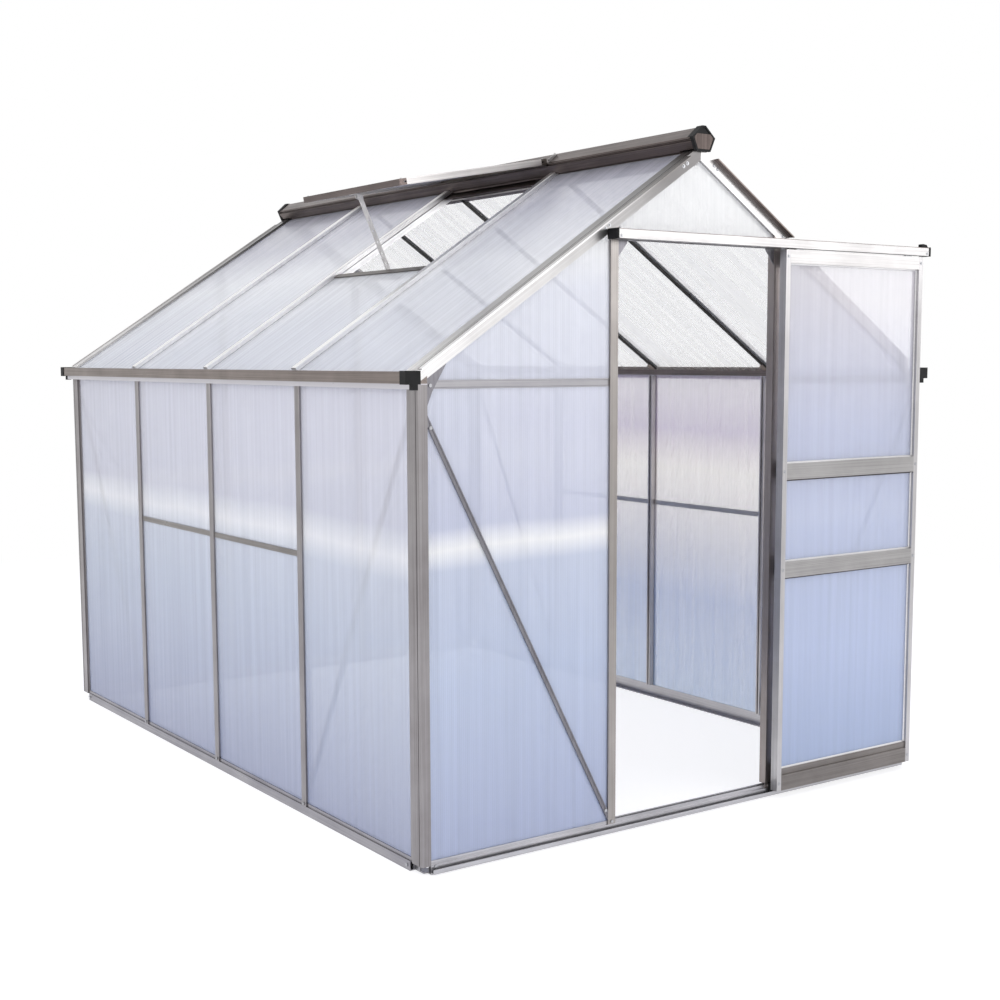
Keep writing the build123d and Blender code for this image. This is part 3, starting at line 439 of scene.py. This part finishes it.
def twin_wall(name, across, stops, streaks, contrast=0.06, gloss_range=(0.16, 0.3), sway=0.05):
    """Twin-wall polycarbonate: across is the axis over the flutes, each stop a height with its colour and
    how much each wall hides there, contrast how far the streaks vary, gloss_range the roughness, and sway
    how far the heights wander."""
    material, tree, shader = new_material(f"twin_wall_polycarbonate_{name}")
    place = add(tree, "ShaderNodeTexCoord").outputs["Object"]
    flute = add(tree, "ShaderNodeTexWave", {"Vector": place, "Scale": wave_turn / flute_pitch},
                wave_type="BANDS", bands_direction=across).outputs["Fac"]
    along = add(tree, "ShaderNodeMapping", {"Vector": place, "Scale": streaks},
                vector_type="TEXTURE").outputs["Vector"]
    streak = add(tree, "ShaderNodeTexNoise", {"Vector": along, "Scale": 1.0, "Detail": 3.0,
                                              "Roughness": 0.6}).outputs["Fac"]
    drift = add(tree, "ShaderNodeTexNoise", {"Vector": place, "Scale": 1 / drift_size,
                                              "Detail": 2.0}).outputs["Fac"]
    height = add(tree, "ShaderNodeSeparateXYZ", {"Vector": place}).outputs["Z"]
    waver = add(tree, "ShaderNodeMath", {0: drift, 1: sway, 2: height}, operation="MULTIPLY_ADD").outputs[0]
    low, high = stops[0][0], stops[-1][0]
    level = add(tree, "ShaderNodeMapRange", {"Value": waver, "From Min": low + sway / 2,
                                             "From Max": high + sway / 2})
    tone = add(tree, "ShaderNodeValToRGB", {"Fac": level.outputs["Result"]})
    while len(tone.color_ramp.elements) < len(stops):
        tone.color_ramp.elements.new(0.5)
    for element, (z, colour, body) in zip(tone.color_ramp.elements, stops):
        element.position = (z - low) / (high - low)
        element.color = linear(colour)[:3] + [body]
    shade = add(tree, "ShaderNodeMapRange", {"Value": streak, "From Min": 0.25, "From Max": 0.75,
                                             "To Min": 1 - contrast,
                                             "To Max": 1 + contrast}).outputs["Result"]
    ribs = add(tree, "ShaderNodeMapRange", {"Value": flute, "To Min": rib_shade[0],
                                            "To Max": rib_shade[1]}).outputs["Result"]
    both = add(tree, "ShaderNodeMath", {0: shade, 1: ribs}, operation="MULTIPLY").outputs[0]
    colour = add(tree, "ShaderNodeVectorMath", {0: tone.outputs["Color"], "Scale": both}, operation="SCALE")
    thick = add(tree, "ShaderNodeMapRange", {"Value": streak, "From Min": 0.3, "From Max": 0.7,
                                             "To Min": -contrast, "To Max": contrast}).outputs["Result"]
    hides = add(tree, "ShaderNodeMath", {0: tone.outputs["Alpha"], 1: thick}, operation="ADD",
                use_clamp=True).outputs[0]
    gloss = add(tree, "ShaderNodeMapRange", {"Value": streak, "To Min": gloss_range[0],
                                             "To Max": gloss_range[1]}).outputs["Result"]
    bump = add(tree, "ShaderNodeBump", {"Height": flute, "Strength": 0.15, "Distance": 0.0005})
    link_surface(tree, shader, colour.outputs["Vector"], gloss, bump.outputs["Normal"])
    tree.links.new(hides, shader.inputs["Alpha"])
    shader.inputs["IOR"].default_value = 1.585
    shader.inputs["Subsurface Weight"].default_value = 0.5
    shader.inputs["Subsurface Radius"].default_value = (1.0, 1.0, 1.0)
    shader.inputs["Subsurface Scale"].default_value = 0.012
    return material


gable_stops = [(0.1, "#adb6d1", 0.82), (0.5, "#bdc7de", 0.8), (0.79, "#ccd3e5", 0.7),
               (0.845, "#ffffff", 0.74), (0.9, "#cdd1e4", 0.64), (1.5, "#e4e6f0", 0.66),
               (1.66, "#ffffff", 0.3)]
side_stops = [(0.05, "#9da4be", 0.78), (0.6, "#c2c9d9", 0.7), (0.76, "#cfd4e1", 0.64),
              (0.825, "#f2f3f7", 0.62), (0.9, "#d3d4e0", 0.6), (1.25, "#dcdce7", 0.58)]
far_stops = [(0.05, "#c6d8f6", 0.52), (0.42, "#bccaec", 0.52), (0.9, "#fff1ec", 0.28),
             (1.05, "#d9cbe6", 0.42), (1.2, "#eae0ee", 0.38)]
door_stops = [(0.1, "#b8c6e6", 0.66), (0.45, "#cad5f3", 0.62), (1.1, "#d2d7ec", 0.5), (1.5, "#e6e2e8", 0.4)]
roof_stops = [(1.3, "#dadde7", 0.62), (1.58, "#eef0f6", 0.62), (1.76, "#c0c0cd", 0.64),
              (1.9, "#b9b9c3", 0.66)]
lit_stops = [(1.27, "#fcfdff", 0.16), (1.9, "#fafafc", 0.16)]
upright = (1.0, streak_width, streak_run)
crossways = (streak_width, 1.0, streak_run)
down_roof = (streak_run, streak_width, streak_run)
wide_down_roof = (2 * streak_run, 2 * streak_width, 2 * streak_run)
dull = (0.32, 0.45)
side_sheet = twin_wall("left_wall", "Y", side_stops, upright, contrast=0.045)
far_sheet = twin_wall("right_wall", "Y", far_stops, upright, contrast=0.05)
gable_sheet = twin_wall("gables", "X", gable_stops, crossways, contrast=0.04, gloss_range=dull)
door_sheet = twin_wall("door", "X", door_stops, crossways, contrast=0.025, gloss_range=dull)
roof_sheet = twin_wall("left_slope", "Y", roof_stops, down_roof, sway=0.24)
lit_roof_sheet = twin_wall("right_slope", "Y", lit_stops, wide_down_roof)
dress(side_sheet, "left_wall_sheets")
dress(far_sheet, "right_wall_sheets")
dress(gable_sheet, "front_gable_sheets", "rear_gable_sheets")
dress(door_sheet, "door_sheets")
dress(roof_sheet, "left_roof_sheets", "vent_sheet")
dress(lit_roof_sheet, "right_roof_sheets")

# Sliding door: a leaf of two stiles, a kick rail, two mid rails and a top rail round three sheets.
# The bars are drawn aluminium, screwed at the corners, and the guide shoes are black mouldings.
# The stiles, top rail and mid rails take brighter copies of the metal: painted light.
door_upright = mill_aluminium("door_stiles", along_z, dark="#a5a3a4", light="#c6c4c5")
dress(door_upright, "door_left_stile", "door_right_stile")
kick_rail = mill_aluminium("kick_rail", along_x, dark="#67625f", light="#86817e")
dress(kick_rail, "door_kick_rail")
dress(track_metal, "door_top_rail")
dress(bright_along_x, "door_mid_rails")
dress(moulded_black, "door_guide_shoes")

# Door glazing beads: slim drawn strips with a chamfered edge, pressed in round the front of each sheet.
# They are painted brighter than the bars as painted light, apart from one below each mid rail, painted dark
# as the rail's painted shadow.
bead_wide = 0.0045
bead_thick = 0.0035
bead_edge = 0.0014
bead_flat = 0.002
bead_gap = 0.0002
mid_rail_high = 0.048
pane_top = 1.592
pane_left, pane_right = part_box("door_left_stile")[1].x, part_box("door_right_stile")[0].x
pane_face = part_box("door_sheets")[0].y - bead_gap
kick_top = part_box("door_kick_rail")[1].z
rails_low, rails_high = (corner.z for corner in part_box("door_mid_rails"))
pane_heights = ((kick_top, rails_low), (rails_low + mid_rail_high, rails_high - mid_rail_high),
                (rails_high, pane_top))
bead_metal = mill_aluminium("bright_beads", along_x, dark="#c9c8c9", light="#e6e5e6")
shadowed_bead_metal = mill_aluminium("shadowed_beads", along_x, dark="#353130", light="#4c4745")
bright_beads, shadowed_beads = [], []
for low, high in pane_heights:
    for axis, fixed, way, start, stop in ((0, low, 1, pane_left, pane_right),
                                          (0, high, -1, pane_left, pane_right),
                                          (2, pane_left, 1, low, high),
                                          (2, pane_right, -1, low, high)):
        outline = [(pane_face, fixed), (pane_face, fixed + way * bead_wide),
                   (pane_face - bead_edge, fixed + way * bead_wide),
                   (pane_face - bead_thick, fixed + way * bead_flat), (pane_face - bead_thick, fixed)]
        if axis == 2:
            outline = [(x, y) for y, x in outline]
        below_mid_rail = (axis, way) == (0, -1) and high < pane_top
        beads = shadowed_beads if below_mid_rail else bright_beads
        beads.append(slab(outline, axis, start, stop))
plain_mesh("door_glazing_beads", *joined(bright_beads), bead_metal, "door", "mill_aluminium")
plain_mesh("door_shadowed_beads", *joined(shadowed_beads), shadowed_bead_metal, "door", "mill_aluminium")

# Door hangers and rollers: zinc-plated steel plates with an axle, each with a turned nylon roller.
# Zinc plate is bright and slightly mottled, nylon is a waxy off-white.
mottle_size = 0.006
tool_mark = 0.0008


def zinc_steel():
    """Zinc-plated steel: a bright metal with small cloudy crystals in the plate."""
    material, tree, shader = new_material("zinc_plated_steel")
    place = add(tree, "ShaderNodeTexCoord").outputs["Object"]
    mottle = add(tree, "ShaderNodeTexNoise", {"Vector": place, "Scale": 1 / mottle_size,
                                              "Detail": 3.0}).outputs["Fac"]
    tone = add(tree, "ShaderNodeValToRGB", {"Fac": mottle})
    tone.color_ramp.elements[0].color = linear("#86868a")
    tone.color_ramp.elements[1].color = linear("#c9cacd")
    gloss = add(tree, "ShaderNodeMapRange", {"Value": mottle, "To Min": 0.25, "To Max": 0.45})
    bump = add(tree, "ShaderNodeBump", {"Height": mottle, "Strength": 0.1, "Distance": 0.0003})
    link_surface(tree, shader, tone.outputs["Color"], gloss.outputs["Result"], bump.outputs["Normal"])
    shader.inputs["Metallic"].default_value = 1.0
    return material


def turned_nylon():
    """Turned nylon: waxy off-white with fine tool marks round the roller."""
    material, tree, shader = new_material("turned_nylon")
    place = add(tree, "ShaderNodeTexCoord").outputs["Object"]
    marks = add(tree, "ShaderNodeTexWave", {"Vector": place, "Scale": wave_turn / tool_mark,
                                            "Distortion": 0.4},
                wave_type="BANDS", bands_direction="Y").outputs["Fac"]
    tone = add(tree, "ShaderNodeValToRGB", {"Fac": marks})
    tone.color_ramp.elements[0].color = linear("#cfccc2")
    tone.color_ramp.elements[1].color = linear("#dddad1")
    gloss = add(tree, "ShaderNodeMapRange", {"Value": marks, "To Min": 0.35, "To Max": 0.45})
    bump = add(tree, "ShaderNodeBump", {"Height": marks, "Strength": 0.15, "Distance": 0.0002})
    link_surface(tree, shader, tone.outputs["Color"], gloss.outputs["Result"], bump.outputs["Normal"])
    return material


plated_steel = zinc_steel()
dress(plated_steel, "door_hangers")
dress(turned_nylon(), "door_left_roller", "door_right_roller")

# Roof vent: a small sash hung by a bead in the ridge's groove, over a sill bar between two roof bars.
# Its bars are drawn aluminium, and a flat stay with holes sits on a peg to hold it open.
vent_tilt = math.radians(10.4)
bar_down_vent = mill_aluminium("down_vent", along_x, -vent_tilt, "#a3a09f", "#c4c1c0")
# The sill bar and hinge rail are painted dark as painted shade, and the bottom rail takes the ridge's
# painted dark reflection.
sill_bar = mill_aluminium("vent_sill", along_y, dark="#443d39", light="#66605c")
stay_strip = mill_aluminium("vent_stay", rolled_grain, dark="#a9a7a7", light="#cdcbcb")
dress(ridge_bar, "vent_bottom_rail")
dress(sill_bar, "vent_hinge_rail", "vent_sill_bar")
dress(bar_down_vent, "vent_stiles")
dress(stay_strip, "vent_stay", "vent_stay_bracket")
dress(plated_steel, "vent_stay_peg")

# Frame bolts: short zinc-plated hexagon bolts at the feet of the bars and at the ends of the braces.
# Their heads slide in the bars' slots or pull the plates against them.
dress(plated_steel, "frame_bolts")

# Vent end clips: folded aluminium tabs on the ridge bar at both ends of the vent's hinge rail.
# They stop the sash sliding along its groove.
clip_outline = [(-0.0385, 1.9262), (-0.0440, 1.9330), (-0.0415, 1.9352), (-0.0160, 1.9562),
                (-0.0120, 1.9515), (-0.0098, 1.9499)]
clip_gap = 0.0015
clip_thick = 0.0035
vent_front, vent_rear = (corner.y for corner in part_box("vent_hinge_rail"))
for name, rail_end, way in (("front", vent_front, -1), ("rear", vent_rear, 1)):
    near = rail_end + way * clip_gap
    clip = slab(clip_outline, 1, near, near + way * clip_thick)
    plain_mesh(f"{name}_vent_end_clip", *clip, bright_along_x, "frame", "mill_aluminium")

# Screws: zinc-plated pan-head screws on washers, at the corners of the door and the vent, on the rafters
# and on the door track. One tree of nodes sets a screw on each point, turned to its face.
screw_sizes = {"Head Radius": 0.0036, "Crown Radius": 0.0021, "Head Height": 0.0022, "Washer Radius": 0.0052,
               "Washer Height": 0.0008}
screw_sides = 18
screw_tree = bpy.data.node_groups.new("pan_head_screws", "GeometryNodeTree")
screw_tree.interface.new_socket("Geometry", in_out="INPUT", socket_type="NodeSocketGeometry")
for name in screw_sizes:
    screw_tree.interface.new_socket(name, in_out="INPUT", socket_type="NodeSocketFloat")
screw_tree.interface.new_socket("Turn", in_out="INPUT", socket_type="NodeSocketVector")
screw_tree.interface.new_socket("Finish", in_out="INPUT", socket_type="NodeSocketMaterial")
screw_tree.interface.new_socket("Geometry", in_out="OUTPUT", socket_type="NodeSocketGeometry")
given = add(screw_tree, "NodeGroupInput").outputs
washer = add(screw_tree, "GeometryNodeMeshCylinder", {"Vertices": screw_sides,
                                                      "Radius": given["Washer Radius"],
                                                      "Depth": given["Washer Height"]}).outputs["Mesh"]
head = add(screw_tree, "GeometryNodeMeshCone", {"Vertices": screw_sides,
                                                "Radius Top": given["Crown Radius"],
                                                "Radius Bottom": given["Head Radius"],
                                                "Depth": given["Head Height"]}).outputs["Mesh"]
screw = add(screw_tree, "GeometryNodeJoinGeometry", {"Geometry": washer})
screw_tree.links.new(head, screw.inputs["Geometry"])
turned = add(screw_tree, "FunctionNodeEulerToRotation", {"Euler": given["Turn"]}).outputs["Rotation"]
placed = add(screw_tree, "GeometryNodeInstanceOnPoints", {"Points": given["Geometry"],
                                                          "Instance": screw.outputs["Geometry"],
                                                          "Rotation": turned}).outputs["Instances"]
real = add(screw_tree, "GeometryNodeRealizeInstances", {"Geometry": placed}).outputs["Geometry"]
plated = add(screw_tree, "GeometryNodeSetMaterial", {"Geometry": real,
                                                     "Material": given["Finish"]}).outputs["Geometry"]
add(screw_tree, "NodeGroupOutput", {"Geometry": plated})


def screws(name, points, turn, body):
    """Screws on points, all turned alike, as one plain mesh on a body."""
    mesh = bpy.data.meshes.new(name)
    mesh.from_pydata(points, [], [])
    piece = bpy.data.objects.new(name, mesh)
    bpy.context.scene.collection.objects.link(piece)
    maker = piece.modifiers.new("screws", "NODES")
    maker.node_group = screw_tree
    values = dict(screw_sizes, Turn=turn, Finish=plated_steel)
    for item in screw_tree.interface.items_tree:
        if item.in_out == "INPUT" and item.name in values:
            maker[item.identifier] = values[item.name]
    graph = bpy.context.evaluated_depsgraph_get()
    made = bpy.data.meshes.new_from_object(piece.evaluated_get(graph), depsgraph=graph)
    piece.modifiers.clear()
    piece.data = made
    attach(piece, body)


to_front = (math.pi / 2, 0, 0)
stiles = [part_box(name) for name in ("door_left_stile", "door_right_stile")]
rail_middles = (1.6115, 0.987, 0.695, 0.0465)
door_screws = [((low.x + high.x) / 2, low.y, z) for low, high in stiles for z in rail_middles]
screws("door_screws", door_screws, to_front, "door")
rafter_middle = 0.017
rafter_spots = (0.070, 0.086, 0.398, 0.414)
rafter_screws = [on_slope(side, along, -gable_face, rafter_middle)
                 for side in (-1, 1) for along in rafter_spots]
screws("gable_screws", rafter_screws, to_front, "frame")
track_low, track_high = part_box("door_track")
screw_in = 0.009
screw_z = 1.6415
track_screws = [(x, track_low.y, screw_z) for x in (track_low.x + screw_in, track_high.x - screw_in)]
screws("track_screws", track_screws, to_front, "frame")
hinge = next(j for j in frame["record"]["behaviour"]["joints"] if j["name"] == "vent_hinge")
hinge_x, _, hinge_z = hinge["pos_m"]
sash_high = 0.020
stile_in = 0.010
sash_spots = (0.018, 0.537)
sash_screws = [(hinge_x - out * math.cos(vent_tilt) - sash_high * math.sin(vent_tilt), y,
                hinge_z - out * math.sin(vent_tilt) + sash_high * math.cos(vent_tilt))
               for out in sash_spots for y in (vent_front + stile_in, vent_rear - stile_in)]
screws("vent_screws", sash_screws, (0, -vent_tilt, 0), "vent")

# Studio: a pale floor that runs out to white, a white background and large soft lamps.
# One lamp stands high at the front right, and a weaker one fills in from the left.
floor_radius = 30.0
floor_sides = 64
floor_drop = 0.0005
floor_fade = (3.2, 5.5)
floor_lift = 0.72
floor_mesh = bpy.data.meshes.new("floor")
ring = [(floor_radius * math.cos(a), floor_radius * math.sin(a), -floor_drop)
        for a in [math.tau * i / floor_sides for i in range(floor_sides)]]
floor_mesh.from_pydata(ring, [], [tuple(range(floor_sides))])
floor = bpy.data.objects.new("floor", floor_mesh)
bpy.context.scene.collection.objects.link(floor)


def seen_ray(tree):
    """1 where the camera looks straight, in a mirror or through glass, and 0 for rays that only light."""
    rays = add(tree, "ShaderNodeLightPath").outputs
    mirrored = add(tree, "ShaderNodeMath", {0: rays["Is Camera Ray"], 1: rays["Is Glossy Ray"]},
                   operation="MAXIMUM").outputs[0]
    return add(tree, "ShaderNodeMath", {0: mirrored, 1: rays["Is Transmission Ray"]},
               operation="MAXIMUM").outputs[0]


pale, tree, shader = new_material("pale_floor")
tree.nodes.remove(shader)
shown = seen_ray(tree)
spot = add(tree, "ShaderNodeTexCoord").outputs["Object"]
distance = add(tree, "ShaderNodeVectorMath", {0: spot}, operation="LENGTH").outputs["Value"]
fade = add(tree, "ShaderNodeMapRange", {"Value": distance, "From Min": floor_fade[0],
                                        "From Max": floor_fade[1]},
           interpolation_type="SMOOTHSTEP").outputs["Result"]
share = add(tree, "ShaderNodeMath", {0: fade, 1: shown}, operation="MULTIPLY").outputs[0]
tint = add(tree, "ShaderNodeMix", {0: shown, 6: linear("#f8f8f8"), 7: linear("#b4b4b8")},
           data_type="RGBA").outputs[2]
matt = add(tree, "ShaderNodeBsdfDiffuse", {"Color": tint}).outputs[0]
lift = add(tree, "ShaderNodeMath", {0: shown, 1: floor_lift}, operation="MULTIPLY").outputs[0]
glow = add(tree, "ShaderNodeEmission", {"Color": (1, 1, 1, 1), "Strength": lift}).outputs[0]
near = add(tree, "ShaderNodeAddShader", {0: matt, 1: glow}).outputs[0]
white = add(tree, "ShaderNodeEmission", {"Color": (1, 1, 1, 1), "Strength": 1.0}).outputs[0]
mixed = add(tree, "ShaderNodeMixShader", {0: share, 1: near, 2: white}).outputs[0]
tree.links.new(mixed, tree.nodes["Material Output"].inputs["Surface"])
floor_mesh.materials.append(pale)

world = bpy.data.worlds.new("studio")
bpy.context.scene.world = world
world.use_nodes = True
tree = world.node_tree
ambient = add(tree, "ShaderNodeBackground", {"Color": linear("#f6f7fb"), "Strength": 1.0}).outputs[0]
backdrop = add(tree, "ShaderNodeBackground", {"Color": (1, 1, 1, 1), "Strength": 1.0}).outputs[0]
mixed = add(tree, "ShaderNodeMixShader", {0: seen_ray(tree), 1: ambient, 2: backdrop}).outputs[0]
tree.links.new(mixed, tree.nodes["World Output"].inputs["Surface"])


def soft_lamp(name, place, target, width, height, power):
    lamp = bpy.data.lights.new(name, "AREA")
    lamp.shape = "RECTANGLE"
    lamp.size = width
    lamp.size_y = height
    lamp.energy = power
    stand = bpy.data.objects.new(name, lamp)
    bpy.context.scene.collection.objects.link(stand)
    stand.location = place
    stand.rotation_euler = (Vector(target) - Vector(place)).to_track_quat("-Z", "Y").to_euler()
    stand.visible_camera = False


soft_lamp("front_right_lamp", place=(3.8, -6.4, 3.0), target=(0, -1, 1.6),
          width=6.5, height=2.4, power=110)
soft_lamp("left_fill_lamp", place=(-5.0, -1.5, 2.2), target=(-0.9, 0, 0.8),
          width=3.5, height=2.2, power=45)

# Camera: where the photograph was taken from, off the front left corner and a little over the eaves.
# Its place, lens and shift are fitted to the frame's corners in the photograph.
camera_place = Vector((-2.851, -4.4192, 1.316))
yaw, pitch, roll = math.radians(35.465), math.radians(-6.523), math.radians(-0.071)
lens_mm = 53.66
sensor_mm = 36.0
view_shift = (-0.02387, 0.02988)
camera = bpy.data.objects.new("photo_camera", bpy.data.cameras.new("photo_camera"))
bpy.context.scene.collection.objects.link(camera)
forward = Vector((math.sin(yaw) * math.cos(pitch), math.cos(yaw) * math.cos(pitch), math.sin(pitch)))
right = Vector((math.cos(yaw), -math.sin(yaw), 0))
up = right.cross(forward)
right, up = right * math.cos(roll) + up * math.sin(roll), up * math.cos(roll) - right * math.sin(roll)
camera.matrix_world = Matrix.Translation(camera_place) @ Matrix((right, up, -forward)).transposed().to_4x4()
camera.data.sensor_width = sensor_mm
camera.data.lens = lens_mm
camera.data.shift_x, camera.data.shift_y = view_shift
bpy.context.scene.camera = camera
bpy.context.scene.view_settings.view_transform = "Standard"
